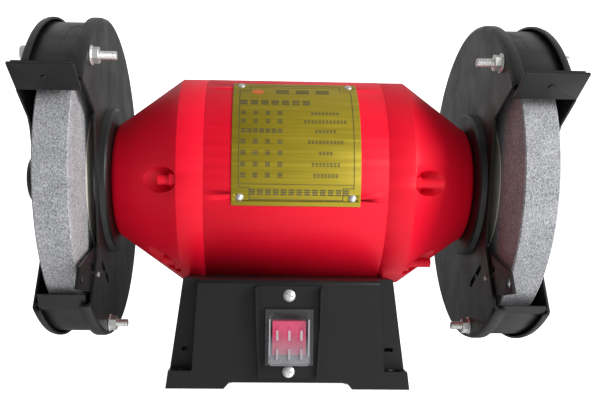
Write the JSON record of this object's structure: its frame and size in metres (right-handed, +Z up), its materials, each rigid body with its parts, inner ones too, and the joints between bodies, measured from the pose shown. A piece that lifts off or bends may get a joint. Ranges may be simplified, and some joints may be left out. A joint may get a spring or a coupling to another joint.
{
  "type": "bench grinder",
  "caption": "Bench grinder: round motor on a pressed pedestal, with a guarded grinding wheel on each end of its spindle.",
  "frame": {"origin": "centre of the bench-bolt pattern at the bench surface", "axes": "+X along the spindle to the operator's right, -Y towards the operator, +Z up"},
  "size_m": [0.2832, 0.1718, 0.186],
  "materials": {
    "base_paint": "semi-matte black enamel",
    "guard_paint": "satin black enamel",
    "motor_paint": "gloss red enamel",
    "zinc_plate": "bright zinc plate",
    "bearing_steel": "polished bearing steel",
    "machined_steel": "turned steel",
    "lamination_steel": "stacked electrical steel",
    "copper_winding": "enamelled copper wire",
    "cast_aluminium": "die cast",
    "nameplate_brass": "satin gold",
    "terminal_brass": "tinned brass",
    "abrasive": "vitrified grey abrasive grain",
    "blotter_paper": "card",
    "black_plastic": "moulded",
    "rocker_red": "translucent red",
    "clear_boot": "clear flexible cover",
    "capacitor_shell": "moulded can",
    "gland_rubber": "moulded",
    "cover_sheet": "phosphated sheet"
  },
  "bodies": {
    "root": {"base_shell": "base_paint", "base_cover": "cover_sheet", "cover_screws": "zinc_plate", "switch_plate": "base_paint", "switch_screws": "zinc_plate", "switch_body": "black_plastic", "switch_boot": "clear_boot", "switch_terminals": "terminal_brass", "run_capacitor": "capacitor_shell", "capacitor_clip": "zinc_plate", "terminal_block": "black_plastic", "cord_gland": "gland_rubber", "motor_screws": "zinc_plate", "motor_sleeve": "motor_paint", "left_end_shield": "motor_paint", "right_end_shield": "motor_paint", "nameplate": "nameplate_brass", "nameplate_rivets": "zinc_plate", "stator_core": "lamination_steel", "stator_windings": "copper_winding", "tie_bolts": "motor_paint", "bearing_outer_rings": "bearing_steel", "wave_washer": "bearing_steel", "left_inner_guard": "guard_paint", "right_inner_guard": "guard_paint", "left_guard_band": "guard_paint", "right_guard_band": "guard_paint", "left_guard_cover": "guard_paint", "right_guard_cover": "guard_paint", "left_guard_bolts": "zinc_plate", "right_guard_bolts": "zinc_plate", "left_guard_nuts": "zinc_plate", "right_guard_nuts": "zinc_plate", "left_guard_screws": "zinc_plate", "right_guard_screws": "zinc_plate", "left_rest_guide": "zinc_plate", "right_rest_guide": "zinc_plate"},
    "rotor": {"rotor_core": "lamination_steel", "rotor_end_rings": "cast_aluminium", "spindle": "machined_steel", "inner_flanges": "machined_steel", "wheel_blotters": "blotter_paper", "left_wheel": "abrasive", "right_wheel": "abrasive", "outer_flanges": "machined_steel", "spindle_nuts": "zinc_plate", "bearing_inner_rings": "bearing_steel", "bearing_balls": "bearing_steel"},
    "rocker": {"switch_rocker": "rocker_red"},
    "left_deflector": {"left_spark_deflector": "guard_paint", "left_deflector_screw": "guard_paint"},
    "left_rest": {"left_rest_bracket": "guard_paint", "left_rest_pin": "guard_paint"},
    "right_deflector": {"right_spark_deflector": "guard_paint", "right_deflector_screw": "guard_paint"},
    "right_rest": {"right_rest_bracket": "guard_paint", "right_rest_pin": "guard_paint"}
  },
  "joints": [
    {"name": "spindle_spin", "type": "hinge", "parent": "root", "child": "rotor", "pos_m": [0.003, 0, 0.102], "axis": [1, 0, 0], "continuous": true},
    {"name": "switch_rock", "type": "hinge", "parent": "root", "child": "rocker", "pos_m": [0, -0.056, 0.0262], "axis": [1, 0, 0], "range_deg": [-14, 0]},
    {"name": "left_deflector_slide", "type": "slide", "parent": "root", "child": "left_deflector", "axis": [0, 0.866, -0.5], "range_m": [-0.004, 0]},
    {"name": "left_rest_slide", "type": "slide", "parent": "root", "child": "left_rest", "axis": [0, -0.866, 0.5], "range_m": [-0.008, 0.008]},
    {"name": "right_deflector_slide", "type": "slide", "parent": "root", "child": "right_deflector", "axis": [0, 0.866, -0.5], "range_m": [-0.004, 0]},
    {"name": "right_rest_slide", "type": "slide", "parent": "root", "child": "right_rest", "axis": [0, -0.866, 0.5], "range_m": [-0.008, 0.008]}
  ]
}
